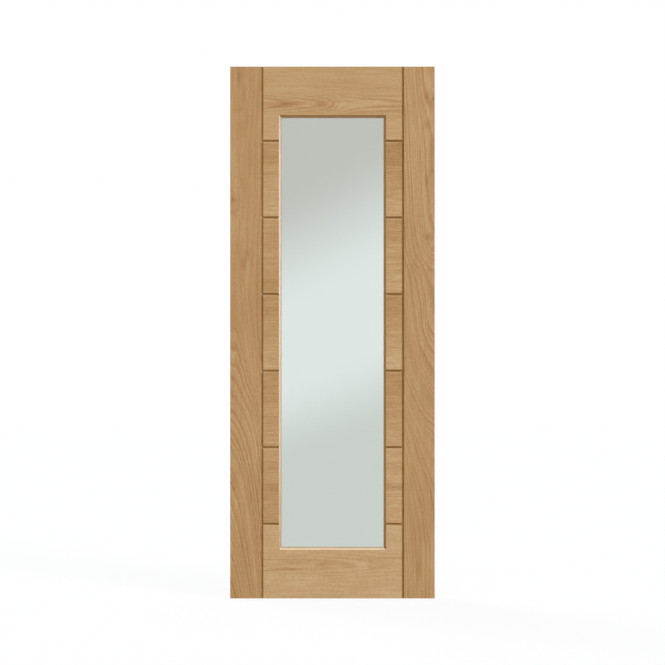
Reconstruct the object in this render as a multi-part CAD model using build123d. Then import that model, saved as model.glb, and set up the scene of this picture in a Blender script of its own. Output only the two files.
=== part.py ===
# Oak interior door leaf with one tall glazed light, in millimetres.
#
# X runs across the leaf from its left edge, Y through its thickness with the front towards -Y,
# and Z up from its bottom edge. Two lipped stiles run the full height. Boards that are tongued
# into the stiles and into each other fill the space between them, and the first and last of
# these, the rails, are notched round the ends of the light. Every joint shows as a V groove on
# both faces. The glass lies between two rings of mitred and bevelled beads.

import os

from build123d import *

# Leaf
door_height = 1981.0
door_width = 762.0
door_thickness = 35.0

# Stiles
stile_width = 119.0  # leaf edge to the joint with the boards, lipping included
lipping_thickness = 10.0
lipping_rounding = 1.5  # radius on the leaf's long outer arrises

# Rails and boards
rail_height = 277.0  # leaf end to the nearest horizontal joint
rail_depth = 180.0  # leaf end to the light
board_width = 62.0  # stile joint to the light
board_rows = 5  # boards above one another on each side of the light
v_groove_depth = 4.5  # also half the groove's width, as its walls are at 45 degrees

# Tongues and grooves
tongue_thickness = 10.0
tongue_length = 12.0
tongue_fit = 0.1  # gap between a tongue and each wall of its groove
groove_spare = 1.0  # glue space past the tip of a tongue

# Glazing
glass_thickness = 4.0
glass_edge_gap = 3.0  # between the edge of the glass and the wall of the light
glass_arris = 0.5  # ground edges
bead_width = 9.5
bead_land = 0.5  # flat strip level with the face, beside the light's wall
bead_nose = 2.0  # strip at the foot of the bevel, beside the glass
bead_nose_rounding = 1.8  # radius on the nose's inner arris
bead_bevel_depth = 7.0

# Worked out from the above
half_thickness = door_thickness / 2
middle_x = door_width / 2
left_joint = stile_width
right_joint = door_width - stile_width
light_left = left_joint + board_width
light_right = right_joint - board_width
light_bottom = rail_depth
light_top = door_height - rail_depth
low_joint = rail_height
high_joint = door_height - rail_height
row_height = (high_joint - low_joint) / board_rows
groove_width = tongue_thickness + 2 * tongue_fit
groove_depth = tongue_length + groove_spare
tongue_tip = left_joint - tongue_length
bead_depth = half_thickness - glass_thickness / 2

close_enough = 0.001


def block(x_low, x_high, z_low, z_high, thickness=door_thickness):
    """A square-edged block between these limits, centred on the leaf's middle plane."""
    middle = Pos((x_low + x_high) / 2, 0, (z_low + z_high) / 2)
    return middle * Box(x_high - x_low, thickness, z_high - z_low)


def mirrored(piece):
    """The same piece on the right-hand side of the leaf."""
    return mirror(piece, about=Plane.YZ.offset(middle_x))


def both_sides(piece):
    """The piece together with its mirror image."""
    return piece + mirrored(piece)


def with_v_arrises(piece, x_joints, z_joints):
    """Chamfers a piece along its joints on both faces, which makes its half of each V groove."""

    def on_a_joint(edge):
        at = edge.center()
        on_face = abs(abs(at.Y) - half_thickness) < close_enough
        beside = any(abs(at.X - x) < close_enough for x in x_joints)
        above_or_below = any(abs(at.Z - z) < close_enough for z in z_joints)
        return on_face and (beside or above_or_below)

    return chamfer(piece.edges().filter_by(on_a_joint), v_groove_depth)


def end_tongue(z_low, z_high):
    """Tongue on the left end of a rail or board, which enters the stile."""
    return block(tongue_tip, left_joint, z_low, z_high, tongue_thickness)


def upper_tongue(z_joint):
    """Tongue along the top of a left-hand board, which enters the board above."""
    return block(tongue_tip, light_left, z_joint, z_joint + tongue_length, tongue_thickness)


def lower_groove(z_joint):
    """Space cut from the bottom of a left-hand board for the tongue below it."""
    return block(tongue_tip, light_left, z_joint, z_joint + groove_depth, groove_width)


def left_lipping():
    """Solid strip on the outer edge of a stile, with both outer arrises rounded."""
    strip = Pos(lipping_thickness / 2, 0) * Rectangle(lipping_thickness, door_thickness)
    outer_corners = strip.vertices().group_by(Axis.X)[0]
    return extrude(fillet(outer_corners, lipping_rounding), door_height)


def left_stile():
    """Upright with a V arris on each face and a groove for the tongues down its inner edge."""
    core_width = stile_width - lipping_thickness
    core = Pos(lipping_thickness + core_width / 2, 0) * Rectangle(core_width, door_thickness)
    inner_corners = core.vertices().group_by(Axis.X)[-1]
    groove = Pos(left_joint - groove_depth / 2, 0) * Rectangle(groove_depth, groove_width)
    return extrude(chamfer(inner_corners, v_groove_depth) - groove, door_height)


def left_board(z_low):
    """Short board beside the light, square where it meets the light and V-jointed elsewhere."""
    z_high = z_low + row_height
    board = block(left_joint, light_left, z_low, z_high)
    board = with_v_arrises(board, [left_joint], [z_low, z_high])
    return board + end_tongue(z_low, z_high) + upper_tongue(z_high) - lower_groove(z_low)


def rail(z_low, z_high, z_joint):
    """End board across the leaf, notched round the light, with a tongue at each end."""
    board = block(left_joint, right_joint, z_low, z_high)
    board -= block(light_left, light_right, light_bottom, light_top)
    board = with_v_arrises(board, [left_joint, right_joint], [z_joint])
    return board + both_sides(end_tongue(z_low, z_high))


def top_rail():
    return rail(high_joint, door_height, high_joint) - both_sides(lower_groove(high_joint))


def bottom_rail():
    return rail(0, low_joint, low_joint) + both_sides(upper_tongue(low_joint))


def glass_pane():
    """Clear sheet, smaller than the light by the edge gap all round, with ground arrises."""
    pane = block(
        light_left + glass_edge_gap,
        light_right - glass_edge_gap,
        light_bottom + glass_edge_gap,
        light_top - glass_edge_gap,
        glass_thickness,
    )
    return chamfer(pane.edges(), glass_arris)


def bead(length):
    """Bead along +X with its outer edge on the X axis, its width towards +Y and its face at Z 0."""
    section = Polygon(
        (0, 0),
        (bead_land, 0),
        (bead_width - bead_nose, -bead_bevel_depth),
        (bead_width, -bead_bevel_depth),
        (bead_width, -bead_depth),
        (0, -bead_depth),
        align=None,
    )
    nose_corner = section.vertices().sort_by_distance((bead_width, -bead_bevel_depth))[0]
    section = fillet(nose_corner, bead_nose_rounding)
    mitred_plan = Polygon(
        (0, 0),
        (length, 0),
        (length - bead_width, bead_width),
        (bead_width, bead_width),
        align=None,
    )
    strip = extrude(Plane.YZ * section, length, dir=(1, 0, 0))
    return strip & extrude(mitred_plan, bead_depth, dir=(0, 0, -1))


def front_beads():
    """The four front beads by name, each laid along its side of the light."""
    light_width = light_right - light_left
    light_height = light_top - light_bottom
    sides = {
        "bottom": ((light_left, light_bottom), (1, 0), light_width),
        "right": ((light_right, light_bottom), (0, 1), light_height),
        "top": ((light_right, light_top), (-1, 0), light_width),
        "left": ((light_left, light_top), (0, -1), light_height),
    }
    beads = {}
    for name, ((x, z), (along_x, along_z), length) in sides.items():
        side = Plane((x, -half_thickness, z), x_dir=(along_x, 0, along_z), z_dir=(0, -1, 0))
        beads[name] = side * bead(length)
    return beads


def door_pieces():
    """Every piece of the leaf by its name."""
    pieces = {
        "top_rail": top_rail(),
        "bottom_rail": bottom_rail(),
        "glass_pane": glass_pane(),
    }
    left_pieces = {"stile": left_stile(), "lipping": left_lipping()}
    for row in range(board_rows):
        left_pieces[f"board_{row + 1}"] = left_board(low_joint + row * row_height)
    for name, piece in left_pieces.items():
        pieces[f"left_{name}"] = piece
        pieces[f"right_{name}"] = mirrored(piece)
    for name, piece in front_beads().items():
        pieces[f"front_bead_{name}"] = piece
        pieces[f"back_bead_{name}"] = mirror(piece, about=Plane.XZ)
    return pieces


os.makedirs("parts", exist_ok=True)
for name, piece in door_pieces().items():
    export_step(piece, f"parts/{name}.step")
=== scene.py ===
import math

import bpy
import numpy as np
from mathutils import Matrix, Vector


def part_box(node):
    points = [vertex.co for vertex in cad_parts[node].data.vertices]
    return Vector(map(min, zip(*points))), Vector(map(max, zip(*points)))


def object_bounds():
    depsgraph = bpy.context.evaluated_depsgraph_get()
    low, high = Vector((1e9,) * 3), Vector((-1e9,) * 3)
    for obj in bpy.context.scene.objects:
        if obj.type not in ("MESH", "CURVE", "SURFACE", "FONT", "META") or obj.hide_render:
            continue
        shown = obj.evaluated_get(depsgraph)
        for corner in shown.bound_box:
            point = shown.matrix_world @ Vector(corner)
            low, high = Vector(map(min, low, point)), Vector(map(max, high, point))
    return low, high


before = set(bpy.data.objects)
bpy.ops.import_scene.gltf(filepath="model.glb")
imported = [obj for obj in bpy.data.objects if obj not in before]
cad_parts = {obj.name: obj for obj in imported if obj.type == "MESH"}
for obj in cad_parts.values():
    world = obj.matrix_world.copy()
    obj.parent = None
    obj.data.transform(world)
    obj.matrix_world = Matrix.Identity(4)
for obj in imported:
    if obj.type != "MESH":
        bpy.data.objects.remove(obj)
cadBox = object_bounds()
leafLow, leafHigh = cadBox
leafMiddle = (leafLow + leafHigh) / 2
leafWidth, _, leafHeight = leafHigh - leafLow
scene = bpy.context.scene
scene.view_settings.view_transform = "Standard"
print("frame loaded,", len(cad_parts), "nodes")


def put(tree, socket, value):  # links an output, or writes a plain value
    if isinstance(value, bpy.types.NodeSocket):
        tree.links.new(value, socket)
    else:
        socket.default_value = value


def addNode(tree, kind, values=None, **settings):
    node = tree.nodes.new("ShaderNode" + kind)
    for key, value in settings.items():
        setattr(node, key, value)
    for key, value in (values or {}).items():
        put(tree, node.inputs[key], value)
    return node


def calc(tree, operation, *values):
    return addNode(tree, "Math", dict(enumerate(values)), operation=operation).outputs[0]


def vectorCalc(tree, operation, *values):
    return addNode(tree, "VectorMath", dict(enumerate(values)), operation=operation)


def remap(tree, value, fromRange, toRange, shape="LINEAR"):
    names = ("From Min", "From Max", "To Min", "To Max")
    values = {"Value": value, **dict(zip(names, (*fromRange, *toRange)))}
    return addNode(tree, "MapRange", values, interpolation_type=shape).outputs[0]


def swing(tree, value, size):  # a 0 to 1 value as a shift of up to half of size either way
    return calc(tree, "MULTIPLY_ADD", value, size, -size / 2)


def addRamp(tree, value, stops, shape="LINEAR"):
    ramp = addNode(tree, "ValToRGB", {"Fac": value})
    ramp.color_ramp.interpolation = shape
    points = ramp.color_ramp.elements
    while len(points) < len(stops):
        points.new(1.0)
    for point, (place, level) in zip(points, stops):
        point.position = place
        point.color = (*level, 1.0) if isinstance(level, tuple) else (level, level, level, 1.0)
    return ramp.outputs["Color"]


def newMaterial(name):
    material = bpy.data.materials.new(name)
    material.use_nodes = True
    return material, material.node_tree, material.node_tree.nodes["Principled BSDF"]


def objectPlace(tree):
    return addNode(tree, "TexCoord").outputs["Object"]


seedSteps = (1.37, 0.61, 2.09)  # how far one seed moves a noise across, through and along


def noiseAt(tree, place, perMetre, detail, seed):
    # noise with that many features a metre across, through and along the board
    shift = tuple(seed * step for step in seedSteps)
    stretched = vectorCalc(tree, "MULTIPLY_ADD", place, perMetre, shift).outputs[0]
    return addNode(tree, "TexNoise", {"Vector": stretched, "Scale": 1.0, "Detail": detail})


# What all the oak shares. Tones run from 0, dark, to 1, pale.
oak = {
    "tones": [  # place on the scale, then the colour in linear light
        (0.00, (0.262, 0.124, 0.032)),
        (0.25, (0.387, 0.202, 0.066)),
        (0.50, (0.445, 0.248, 0.096)),
        (0.75, (0.517, 0.318, 0.146)),
        (1.00, (0.603, 0.407, 0.222)),
    ],
    "ringBand": [(0.0, 1.0), (0.15, 0.85), (0.50, 0.25), (0.85, 0.0), (1.0, 1.0)],  # across one ring
    "ringMean": 0.28,  # what the rings take off the tone on average, given back to it
    "ringBoldness": (0.25, 1.0),  # faintest and boldest ring
    "ringBump": 0.35,  # depth of a ring's dark wood, as a share of a pore's
    "layers": {  # features a metre across, through and along, and detail
        "drift": ((3.0, 3.0, 1.3), 2.0),
        "wobble": ((22.0, 22.0, 4.0), 2.0),
        "patch": ((16.0, 16.0, 2.4), 2.0),
        "streak": ((170.0, 170.0, 9.0), 2.0),
        "fibre": ((420.0, 420.0, 9.0), 3.0),
        "pore": ((1300.0, 1300.0, 75.0), 0.0),
        "fleck": ((300.0, 300.0, 95.0), 1.0),
    },
    "layerSeedStep": 2,  # added to the seed from each layer to the next
    "unevenPerMetre": 45.0,  # how soon wide rings give way to narrow ones
    "unevenDetail": 1.0,
    "unevenRings": 3.0,
    "featherRings": 0.6,  # fibres that cross a ring's edge
    "patchTone": 0.45,
    "streakTone": 0.40,
    "fibreTone": 0.20,
    "fleckTone": 0.50,
    "poreTone": 0.16,
    "poreSize": (0.58, 0.72),
    "poreShare": (0.3, 1.0),  # of the pores, in the pale wood and in the dark
    "grooveStainAndShade": (0.65, 0.55, 0.345),  # on the walls of the V grooves and the bead bevels: stain that gathers there, and painted shade
    "bevelSpread": 0.1,  # a face counts as a bevel this near to 45 degrees
    "squareOn": 0.9,  # and as facing along an axis past this share of its normal
    "endGrainTone": 0.22,
    "roughness": 0.42,
    "poreRoughness": 0.2,
    "sawnRoughness": 0.4,  # added on faces that look up or down: the bare head and foot, and bead edges
    "patchRoughness": 0.12,
    "bumpDepth": 0.0002,
    "bumpStrength": 0.35,
}


def heartDepth(tree, along, length, depths):
    # depth of the tree's heart behind the middle of the board, as a smooth curve along it
    deepest = max(depth for _, depth in depths)
    node = addNode(tree, "FloatCurve", {"Value": calc(tree, "DIVIDE", along, length)})
    points = node.mapping.curves[0].points
    while len(points) < len(depths):
        points.new(1.0, 1.0)
    for point, (place, depth) in zip(points, depths):
        point.location = (place, depth / deepest)
    node.mapping.update()
    return calc(tree, "MULTIPLY", node.outputs["Value"], deepest)


def markFalloff(tree, place, spot):  # 1 at the mark's middle, fading smoothly as the bell curve does
    offset = vectorCalc(tree, "SUBTRACT", place, (spot["across"], 0.0, spot["along"])).outputs[0]
    shares = (1 / spot["halfWidth"], 0.0, 1 / spot["halfLength"])
    offset = vectorCalc(tree, "MULTIPLY", offset, shares).outputs[0]
    squared = vectorCalc(tree, "DOT_PRODUCT", offset, offset).outputs["Value"]
    return calc(tree, "EXPONENT", calc(tree, "MULTIPLY", squared, -1.0))


def squareTo(tree, part):  # 1 where a face looks along the axis of this part of its normal
    return calc(tree, "GREATER_THAN", calc(tree, "ABSOLUTE", part), oak["squareOn"])


def oakMaterial(name, cut):
    # A board sawn from a log: growth rings are distances from the heart, which drifts and leans, so that
    # the faces show arches and streaks, the edges lines, and the ends arcs.
    material, tree, shader = newMaterial(name)
    x, y, z = addNode(tree, "SeparateXYZ", {0: objectPlace(tree)}).outputs
    upright = cut["runs"] == "up"
    across, along = (x, z) if upright else (z, x)
    length = leafHeight if upright else leafWidth
    place = addNode(tree, "CombineXYZ", {0: across, 1: y, 2: along}).outputs[0]
    layers = {**oak["layers"], **cut.get("layers", {})}
    noise = {}
    for step, (layer, (perMetre, detail)) in enumerate(layers.items()):
        seed = cut["seed"] + oak["layerSeedStep"] * step
        noise[layer] = noiseAt(tree, place, perMetre, detail, seed)
    patch, fibre, pore = (noise[layer].outputs[0] for layer in ("patch", "fibre", "pore"))

    heartLine = remap(tree, along, (0.0, length), cut["heartAcross"])
    sideways = calc(tree, "SUBTRACT", across, heartLine)
    inwards = calc(tree, "SUBTRACT", heartDepth(tree, along, length, cut["heartDepth"]), y)
    for layer in ("drift", "wobble"):
        bend = addNode(tree, "SeparateXYZ", {0: noise[layer].outputs["Color"]})
        sideways = calc(tree, "ADD", sideways, swing(tree, bend.outputs[0], cut[layer]))
        inwards = calc(tree, "ADD", inwards, swing(tree, bend.outputs[1], cut[layer]))
    shade = 0.0
    for spot in cut.get("marks", []):
        falloff = markFalloff(tree, place, spot)
        if spot["push"]:
            inwards = calc(tree, "MULTIPLY_ADD", falloff, spot["push"], inwards)
        shade = calc(tree, "MULTIPLY_ADD", falloff, spot["shade"], shade)
    fromHeart = addNode(tree, "CombineXYZ", {0: sideways, 1: inwards, 2: 0.0}).outputs[0]
    radius = vectorCalc(tree, "LENGTH", fromHeart).outputs["Value"]

    unevenNoise = {"W": radius, "Scale": oak["unevenPerMetre"], "Detail": oak["unevenDetail"]}
    uneven = addNode(tree, "TexNoise", unevenNoise, noise_dimensions="1D").outputs[0]
    rings = calc(tree, "DIVIDE", radius, cut["ringWidth"])
    rings = calc(tree, "ADD", rings, swing(tree, uneven, oak["unevenRings"]))
    rings = calc(tree, "ADD", rings, swing(tree, fibre, oak["featherRings"]))
    band = addRamp(tree, calc(tree, "FRACT", rings), oak["ringBand"])
    lottery = addNode(tree, "TexWhiteNoise", {"W": calc(tree, "FLOOR", rings)}, noise_dimensions="1D")
    boldness = remap(tree, lottery.outputs["Value"], (0.0, 1.0), oak["ringBoldness"])
    ring = calc(tree, "MULTIPLY", band, boldness)
    reaches = {"heart": calc(tree, "ABSOLUTE", sideways), "along": along}
    for line, (near, far, faintest) in cut.get("ringFades", {}).items():  # rings fade from near to far
        fade = remap(tree, reaches[line], (near, far), (1.0, faintest), "SMOOTHSTEP")
        ring = calc(tree, "MULTIPLY", ring, fade)
    pore = remap(tree, pore, oak["poreSize"], (0.0, 1.0))
    pore = calc(tree, "MULTIPLY", pore, remap(tree, band, (0.0, 1.0), oak["poreShare"]))

    betweenRings = cut["tone"] + cut["ringTone"] * oak["ringMean"]
    tone = calc(tree, "MULTIPLY_ADD", ring, -cut["ringTone"], betweenRings)
    for layer in ("patch", "streak", "fibre", "fleck"):
        size = cut.get(layer + "Tone", oak[layer + "Tone"])
        tone = calc(tree, "ADD", tone, swing(tree, noise[layer].outputs[0], size))
    tone = calc(tree, "MULTIPLY_ADD", pore, -oak["poreTone"], tone)
    tone = calc(tree, "SUBTRACT", tone, shade)
    for line, (low, high, gain) in cut.get("fades", {}).items():  # tone gained from low to high
        reach = across if line == "across" else along
        gained = remap(tree, reach, (low, high), (-gain / 2, gain / 2), "SMOOTHSTEP")
        tone = calc(tree, "ADD", tone, gained)
    facing = addNode(tree, "SeparateXYZ", {0: addNode(tree, "TexCoord").outputs["Normal"]}).outputs
    endOn = squareTo(tree, facing[2 if upright else 0])
    tone = calc(tree, "MULTIPLY_ADD", endOn, -oak["endGrainTone"], tone)
    # painted shade with stain: faces near 45 degrees, the V groove walls and bead bevels, are darkened
    # and browned
    bevelNormal = math.sqrt(0.5)
    slanted = calc(tree, "COMPARE", calc(tree, "ABSOLUTE", facing[1]), bevelNormal, oak["bevelSpread"])
    lost = tuple(share - 1.0 for share in cut.get("grooveStainAndShade", oak["grooveStainAndShade"]))
    tint = vectorCalc(tree, "MULTIPLY_ADD", slanted, lost, (1.0, 1.0, 1.0)).outputs[0]
    colour = vectorCalc(tree, "MULTIPLY", addRamp(tree, tone, oak["tones"]), tint).outputs[0]
    put(tree, shader.inputs["Base Color"], colour)

    if "roughness" in cut:
        rough = cut["roughness"]
    else:
        rough = calc(tree, "MULTIPLY_ADD", pore, oak["poreRoughness"], oak["roughness"])
        rough = calc(tree, "ADD", rough, swing(tree, patch, oak["patchRoughness"]))
    rough = calc(tree, "MULTIPLY_ADD", squareTo(tree, facing[2]), oak["sawnRoughness"], rough)
    put(tree, shader.inputs["Roughness"], rough)
    height = calc(tree, "MULTIPLY_ADD", ring, -oak["ringBump"], calc(tree, "MULTIPLY", pore, -1.0))
    strength = cut.get("bumpStrength", oak["bumpStrength"])
    bump = addNode(tree, "Bump", {"Height": height, "Strength": strength, "Distance": oak["bumpDepth"]})
    put(tree, shader.inputs["Normal"], bump.outputs["Normal"])
    return material


def dress(nodeName, material):
    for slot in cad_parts[nodeName].material_slots:
        slot.material = material


def mark(across, along, halfWidth, halfLength, shade, push=0.0):
    # a soft spot in the wood, darker by its shade or paler where that is negative; push bends the rings
    return {
        "across": across, "along": along, "halfWidth": halfWidth, "halfLength": halfLength,
        "shade": shade, "push": push,
    }


# Each stile and its lipping are one cut: the heart line lies near the leaf's edge and leans out of it,
# and comes nearer to the face towards one end, so that the lines slant and close in arches there.
stiles = {
    "left": {
        # its groove walls take a lighter painted shade than the right side's
        "runs": "up", "seed": 11.0, "tone": 0.41, "ringTone": 0.67, "grooveStainAndShade": (0.82, 0.76, 0.62),
        "heartAcross": (-0.060, 0.022),
        "heartDepth": [
            (0.0, 0.055), (0.076, 0.091), (0.252, 0.152), (0.303, 0.169), (0.414, 0.207), (0.50, 0.225),
            (0.55, 0.230), (1.0, 0.230),
        ],
        "ringWidth": 0.0064, "drift": 0.018, "wobble": 0.009,
        "ringFades": {"along": (0.60, 1.05, 0.60)},
        "fades": {"along": (0.0, leafHeight, -0.08)},
        "marks": [
            mark(0.008, 1.946, 0.006, 0.040, 0.16),
            mark(0.033, 1.946, 0.009, 0.034, 0.26),
            mark(0.050, 1.875, 0.006, 0.036, 0.20),
            mark(0.017, 1.858, 0.004, 0.036, 0.14),
            mark(0.035, 1.823, 0.008, 0.012, 0.28),
            mark(-0.002, 1.484, 0.018, 0.030, 0.00, push=0.020),
            mark(0.010, 1.484, 0.010, 0.014, 0.32),
            mark(0.035, 1.480, 0.005, 0.026, 0.20),
            mark(0.024, 1.447, 0.010, 0.009, 0.26),
            mark(0.009, 1.436, 0.010, 0.009, 0.26),
            mark(0.066, 1.282, 0.008, 0.022, 0.32),
            mark(0.049, 1.249, 0.009, 0.026, 0.36),
            mark(0.092, 1.700, 0.022, 0.160, -0.09),
            mark(0.045, 1.375, 0.080, 0.075, -0.10),
            mark(0.050, 1.075, 0.080, 0.120, 0.11),
            mark(0.006, 0.870, 0.016, 0.110, -0.11),
            mark(0.012, 0.640, 0.025, 0.075, -0.14),
            mark(0.020, 0.430, 0.028, 0.060, 0.13),
            mark(0.094, 0.570, 0.024, 0.220, -0.10),
        ],
    },
    "right": {
        "runs": "up", "seed": 23.0, "tone": 0.53, "ringTone": 0.44,
        "heartAcross": (leafWidth + 0.070, leafWidth - 0.019),
        "heartDepth": [
            (0.0, 0.219), (0.157, 0.217), (0.258, 0.198), (0.303, 0.185), (0.36, 0.155), (0.443, 0.120),
            (0.505, 0.100), (0.606, 0.086), (0.674, 0.050), (0.894, 0.035), (1.0, 0.020),
        ],
        "ringWidth": 0.0080, "drift": 0.018, "wobble": 0.012,
        "fades": {"along": (0.0, leafHeight, 0.05)},
        "marks": [
            mark(0.737, 1.873, 0.014, 0.026, 0.26),
            mark(0.736, 1.767, 0.014, 0.018, 0.34),
            mark(0.712, 1.925, 0.016, 0.060, -0.08),
            mark(0.740, 1.800, 0.016, 0.160, -0.10),
            mark(0.718, 1.310, 0.024, 0.250, 0.09),
            mark(0.751, 1.592, 0.008, 0.018, 0.18),
            mark(0.733, 1.555, 0.008, 0.026, 0.34),
            mark(0.743, 1.348, 0.014, 0.014, 0.36),
            mark(0.704, 0.110, 0.010, 0.045, 0.34),
            mark(0.710, 0.805, 0.030, 0.055, -0.08),
            mark(0.672, 0.440, 0.030, 0.070, 0.11),
            mark(0.680, 0.100, 0.070, 0.090, -0.18),
        ],
    },
}
for side, cut in stiles.items():
    dress(side + "_stile", oakMaterial(side + "StileOak", cut))
    lippingCut = {**cut, "grooveStainAndShade": (1.0, 1.0, 1.0)}  # no stain or painted shade on its rounded arrises
    dress(side + "_lipping", oakMaterial(side + "LippingOak", lippingCut))

# The rails are level boards with the heart behind their middle, so they show long lying arches.
rails = {
    "top": {
        "runs": "level", "seed": 31.0, "tone": 0.61, "ringTone": 0.46,
        "heartAcross": (1.841, 1.841), "ringFades": {"heart": (0.020, 0.050, 0.30)},
        "heartDepth": [
            (0.0, 0.014), (0.30, 0.022), (0.46, 0.029), (0.58, 0.0430), (0.62, 0.0444), (0.80, 0.0468),
            (1.0, 0.0490),
        ],
        "ringWidth": 0.0050, "drift": 0.012, "wobble": 0.008,
        "marks": [
            mark(1.925, 0.455, 0.008, 0.080, 0.12),
            mark(1.912, 0.500, 0.018, 0.400, 0.07),
            mark(1.868, 0.435, 0.020, 0.045, -0.09),
            mark(1.840, 0.195, 0.012, 0.070, 0.26),
            mark(1.841, 0.345, 0.012, 0.030, 0.24),
            mark(1.841, 0.608, 0.010, 0.012, 0.12),
            mark(1.833, 0.430, 0.016, 0.030, -0.05),
        ],
    },
    "bottom": {
        "runs": "level", "seed": 47.0, "tone": 0.77, "ringTone": 0.34,
        "heartAcross": (0.125, 0.125), "ringFades": {"heart": (0.020, 0.050, 0.30)},
        "heartDepth": [(0.0, 0.0300), (0.156, 0.0318), (0.497, 0.0355), (0.688, 0.0420), (1.0, 0.0470)],
        "ringWidth": 0.0065, "drift": 0.012, "wobble": 0.008,
        "marks": [
            mark(0.127, 0.348, 0.007, 0.030, 0.42),
            mark(0.136, 0.250, 0.004, 0.050, 0.30),
            mark(0.109, 0.214, 0.006, 0.050, 0.20),
            mark(0.124, 0.521, 0.006, 0.015, 0.16),
            mark(0.156, 0.150, 0.014, 0.120, 0.06),
            mark(0.121, 0.435, 0.012, 0.035, 0.09),
            mark(0.030, 0.280, 0.032, 0.260, -0.09),
        ],
    },
}
for end, cut in rails.items():
    dress(end + "_rail", oakMaterial(end + "RailOak", cut))

# The short boards, from the bottom row up: tone, the tone gained towards the top edge, and the dark
# bands, each with its place as a share of the board's height, half its height in metres, and its shade.
boards = {
    "left": [
        (0.53, 0.12, [(0.44, 0.020, 0.12)]),
        (0.55, -0.12, [(0.58, 0.006, 0.15)]),
        (0.57, -0.25, []),
        (0.56, 0.06, [(0.13, 0.018, 0.20), (0.82, 0.008, 0.10)]),
        (0.61, -0.30, [(0.78, 0.012, 0.12)]),
    ],
    "right": [
        (0.73, -0.06, [(0.46, 0.010, 0.32)]),
        (0.55, -0.25, [(0.50, 0.030, 0.08)]),
        (0.62, -0.40, [(0.57, 0.008, 0.16)]),
        (0.62, -0.22, []),
        (0.51, -0.45, []),
    ],
}
boardCut = {
    "seeds": {"left": 60.0, "right": 62.5}, "rowSeedStep": 5.0,
    "runs": "level", "ringTone": 0.44, "heartDepth": [(0.0, 0.10), (1.0, 0.10)],
    "heartBelow": 0.11,  # the heart lies this far under the board's low edge
    "ringWidth": 0.0046, "drift": 0.030, "wobble": 0.010, "bandLength": 0.5,
    "layers": {
        "patch": ((55.0, 55.0, 9.0), 2.0), "streak": ((170.0, 170.0, 24.0), 2.0),
        "fibre": ((420.0, 420.0, 20.0), 3.0),
    },
    "streakTone": 0.50,
    # painted shade with stain on the groove walls, lighter on the left side
    "grooveStainsAndShades": {"left": (0.72, 0.64, 0.44), "right": oak["grooveStainAndShade"]},
    # a painted highlight: a pale line along the lit arris under each level groove, measured down from
    # the tip of the board's tongue
    "arrisBelow": 0.0185, "arrisHalf": 0.0022, "arrisHighlight": -0.30,
}
for side, rows in boards.items():
    for row, (tone, gain, bands) in enumerate(rows, 1):
        nodeName = f"{side}_board_{row}"
        boxLow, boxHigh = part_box(nodeName)
        low, high = boxLow.z, boxHigh.z
        middle = (boxLow.x + boxHigh.x) / 2
        lines = [(low + share * (high - low), halfHeight, shade) for share, halfHeight, shade in bands]
        lines.append((high - boardCut["arrisBelow"], boardCut["arrisHalf"], boardCut["arrisHighlight"]))
        cut = {
            **boardCut, "tone": tone, "seed": boardCut["seeds"][side] + boardCut["rowSeedStep"] * row,
            "heartAcross": (low - boardCut["heartBelow"],) * 2,
            "fades": {"across": (low, high, gain)},
            "grooveStainAndShade": boardCut["grooveStainsAndShades"][side],
            "marks": [
                mark(place, middle, halfHeight, boardCut["bandLength"], shade)
                for place, halfHeight, shade in lines
            ],
        }
        dress(nodeName, oakMaterial(f"{side}Board{row}Oak", cut))

# Beads are straight-grained mouldings with an even coat.
beadCut = {
    "ringTone": 0.08, "heartAcross": (-0.30, -0.30), "heartDepth": [(0.0, 0.10), (1.0, 0.10)],
    "ringWidth": 0.0026, "drift": 0.02, "wobble": 0.003, "tone": 0.56, "roughness": 0.35,
    # painted shade with stain on the bead bevels
    "grooveStainAndShade": (0.83, 0.75, 0.53), "bumpStrength": 0.05,
    "patchTone": 0.15, "streakTone": 0.10, "fleckTone": 0.12,
}
beads = {"up": (113.0, ("left", "right")), "level": (127.0, ("top", "bottom"))}
for runs, (seed, sides) in beads.items():
    beadOak = oakMaterial(runs + "BeadOak", {**beadCut, "runs": runs, "seed": seed})
    for side in sides:
        for face in ("front", "back"):
            dress(f"{face}_bead_{side}", beadOak)
print("oak done,", len(bpy.data.materials), "materials")

# Clear toughened sheet with a pale green body and the slight waves that the furnace rollers leave.
glass = {
    "colour": (0.711, 0.782, 0.758, 1.0), "refraction": 1.5,
    "wavesPerMetre": (2.0, 2.0, 3.5), "waveDetail": 0.0, "waveHeight": 0.00001, "seed": 3.0,
}


def glassMaterial():
    material, tree, shader = newMaterial("clearGlass")
    shader.inputs["Base Color"].default_value = glass["colour"]
    shader.inputs["Transmission Weight"].default_value = 1.0
    shader.inputs["IOR"].default_value = glass["refraction"]
    shader.inputs["Roughness"].default_value = 0.0
    place = objectPlace(tree)
    waves = noiseAt(tree, place, glass["wavesPerMetre"], glass["waveDetail"], glass["seed"]).outputs[0]
    bump = addNode(tree, "Bump", {"Height": waves, "Strength": 1.0, "Distance": glass["waveHeight"]})
    put(tree, shader.inputs["Normal"], bump.outputs["Normal"])
    return material


dress("glass_pane", glassMaterial())
print("glass done")


def addSheet(name, u, v, corner, along, up):
    # a flat grid: a corner point, plus u times one direction, plus v times another
    u, v = (part[..., None] for part in np.meshgrid(u, v))
    points = np.array(corner) + u * np.array(along) + v * np.array(up)
    rows, columns = points.shape[:2]
    first = np.arange((rows - 1) * columns).reshape(rows - 1, columns)[:, :-1]
    faces = np.stack([first, first + 1, first + columns + 1, first + columns], axis=-1)
    mesh = bpy.data.meshes.new(name)
    mesh.from_pydata(points.reshape(-1, 3), [], faces.reshape(-1, 4))
    sheet = bpy.data.objects.new(name, mesh)
    scene.collection.objects.link(sheet)
    return sheet


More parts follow.
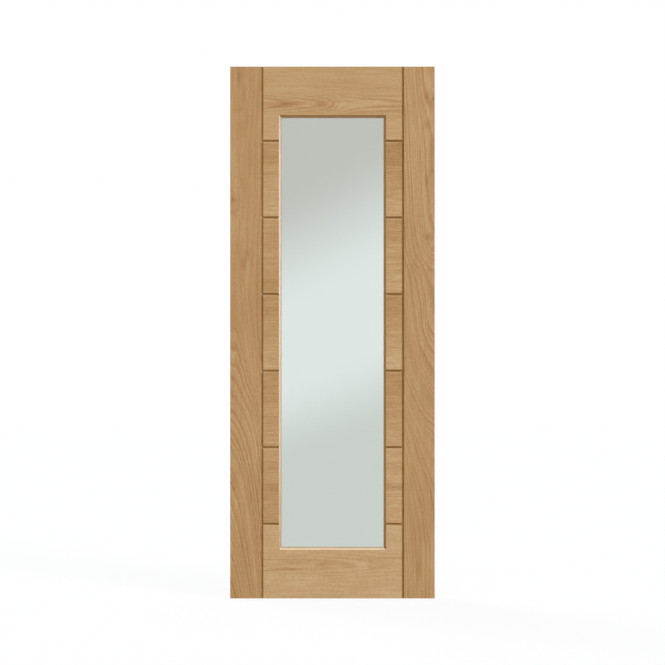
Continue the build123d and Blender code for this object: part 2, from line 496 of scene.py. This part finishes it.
def seenDirectly(tree):  # 1 for rays from the camera, from gloss and through glass
    path = addNode(tree, "LightPath")
    direct = calc(tree, "MAXIMUM", path.outputs["Is Camera Ray"], path.outputs["Is Glossy Ray"])
    return calc(tree, "MAXIMUM", direct, path.outputs["Is Transmission Ray"])


# Pale floor, a wide square that shows white but for a faint shadow.
floor = {
    "reach": 14.0, "points": 3, "drop": 0.0005,
    "paleness": 0.62,  # to the eye
    "bounce": 0.34,  # to the light that it throws back up
    "whiteShare": 0.84,
}


def makeFloor():
    line = np.linspace(-floor["reach"], floor["reach"], floor["points"])
    corner = (leafMiddle.x, 0.0, leafLow.z - floor["drop"])
    sheet = addSheet("floor", line, line, corner, (1, 0, 0), (0, 1, 0))
    material, tree, shader = newMaterial("paleFloor")
    direct = seenDirectly(tree)
    shown = remap(tree, direct, (0, 1), (floor["bounce"], floor["paleness"]))
    put(tree, shader.inputs["Base Color"], shown)
    shader.inputs["Roughness"].default_value = 1.0
    shader.inputs["Specular IOR Level"].default_value = 0.0
    white = addNode(tree, "Emission", {"Strength": 1.0})
    share = calc(tree, "MULTIPLY", direct, floor["whiteShare"])
    mix = addNode(tree, "MixShader", {0: share, 1: shader.outputs[0], 2: white.outputs[0]})
    put(tree, tree.nodes["Material Output"].inputs["Surface"], mix.outputs[0])
    sheet.data.materials.append(material)


makeFloor()

# Grey card behind the leaf that only the glass shows, crossed by a tilted band of light: a painted
# reflection, glowing behind the glass in place of one on its face.
card = {
    "behind": 0.30, "halfWidth": 3.0, "height": 4.0, "points": 2,
    "slope": 0.42,  # rise of the band's lines for a metre across
    "slopeGain": 0.22,  # and the gain in that for a metre up
    "reach": 1.0,  # the tones span this height either way from the leaf's middle
    "tones": [  # height over the leaf's middle, then the colour
        (-0.450, (0.788, 0.778, 0.747)),
        (-0.122, (1.0, 1.0, 1.0)),
        (0.146, (1.0, 1.0, 1.0)),
        (0.658, (0.692, 0.651, 0.613)),
    ],
}


def makeCard():
    across = np.linspace(-card["halfWidth"], card["halfWidth"], card["points"])
    up = np.linspace(0.0, card["height"], card["points"])
    corner = (leafMiddle.x, leafHigh.y + card["behind"], leafLow.z)
    sheet = addSheet("greyCard", across, up, corner, (1, 0, 0), (0, 0, 1))
    material, tree, shader = newMaterial("cardLight")
    fromMiddle = vectorCalc(tree, "SUBTRACT", objectPlace(tree), tuple(leafMiddle)).outputs[0]
    x, _, z = addNode(tree, "SeparateXYZ", {0: fromMiddle}).outputs
    slope = calc(tree, "MULTIPLY_ADD", z, card["slopeGain"], card["slope"])
    height = calc(tree, "SUBTRACT", z, calc(tree, "MULTIPLY", x, slope))
    reach = card["reach"]
    stops = [((level + reach) / (2 * reach), colour) for level, colour in card["tones"]]
    colour = addRamp(tree, remap(tree, height, (-reach, reach), (0.0, 1.0)), stops, "EASE")
    light = addNode(tree, "Emission", {"Color": colour, "Strength": 1.0})
    put(tree, tree.nodes["Material Output"].inputs["Surface"], light.outputs[0])
    sheet.data.materials.append(material)
    sheet.visible_camera = False
    sheet.visible_diffuse = False
    sheet.visible_glossy = False
    sheet.visible_shadow = False


makeCard()

# Lamps: where each shines from, its width in degrees, and its level on a surface that faces it. The key
# is a little warm, and those at the side and above a little cool, as windows are.
lamps = {
    "keyLamp": {
        "towards": (0.62, -0.62, 0.48), "width": 16.0, "level": 0.475,
        "colour": (1.0, 0.97, 0.92),
    },
    "sideLamp": {
        "towards": (0.99, -0.03, 0.03), "width": 8.0, "level": 0.55,
        "colour": (0.80, 1.0, 1.09),
    },
    "topLamp": {
        "towards": (0.0, -0.10, 0.99), "width": 8.0, "level": 0.35,
        "colour": (0.88, 1.05, 1.05),
    },
    "backLamp": {
        "towards": (-0.50, 0.60, 0.60), "width": 30.0, "level": 0.40,
        "colour": (1.0, 1.0, 1.0),
    },
}


def makeLamps():
    for name, look in lamps.items():
        lamp = bpy.data.lights.new(name, "SUN")
        lamp.energy = look["level"] * math.pi
        lamp.color = look["colour"]
        lamp.angle = math.radians(look["width"])
        lamp.cycles.use_multiple_importance_sampling = False  # no sparkle of lamps through the glass
        holder = bpy.data.objects.new(name, lamp)
        holder.rotation_mode = "QUATERNION"
        holder.rotation_quaternion = Vector(look["towards"]).to_track_quat("Z", "Y")
        scene.collection.objects.link(holder)


makeLamps()

surroundings = {"fill": 0.755}  # on the object; the eye, gloss and glass see plain white


def makeWorld():
    world = bpy.data.worlds.new("whiteRoom")
    scene.world = world
    world.use_nodes = True
    tree = world.node_tree
    background = tree.nodes["Background"]
    background.inputs["Color"].default_value = (1.0, 1.0, 1.0, 1.0)
    level = remap(tree, seenDirectly(tree), (0.0, 1.0), (surroundings["fill"], 1.0))
    put(tree, background.inputs["Strength"], level)


makeWorld()
print("floor, card, lamps and world done")

# Long lens square on to the leaf, which fills the measured share of a square picture.
lens = {"length": 120.0, "sensor": 36.0, "leafPixels": 531.84, "picturePixels": 665}


def makeCamera():
    data = bpy.data.cameras.new("camera")
    data.lens = lens["length"]
    data.sensor_width = lens["sensor"]
    leafShare = lens["leafPixels"] / lens["picturePixels"]
    distance = leafHeight * lens["length"] / (leafShare * lens["sensor"])
    camera = bpy.data.objects.new("camera", data)
    camera.location = (leafMiddle.x, leafLow.y - distance, leafMiddle.z)
    camera.rotation_euler = (math.radians(90), 0, 0)
    scene.collection.objects.link(camera)
    scene.camera = camera
    print("camera", round(distance, 3), "m in front")


makeCamera()
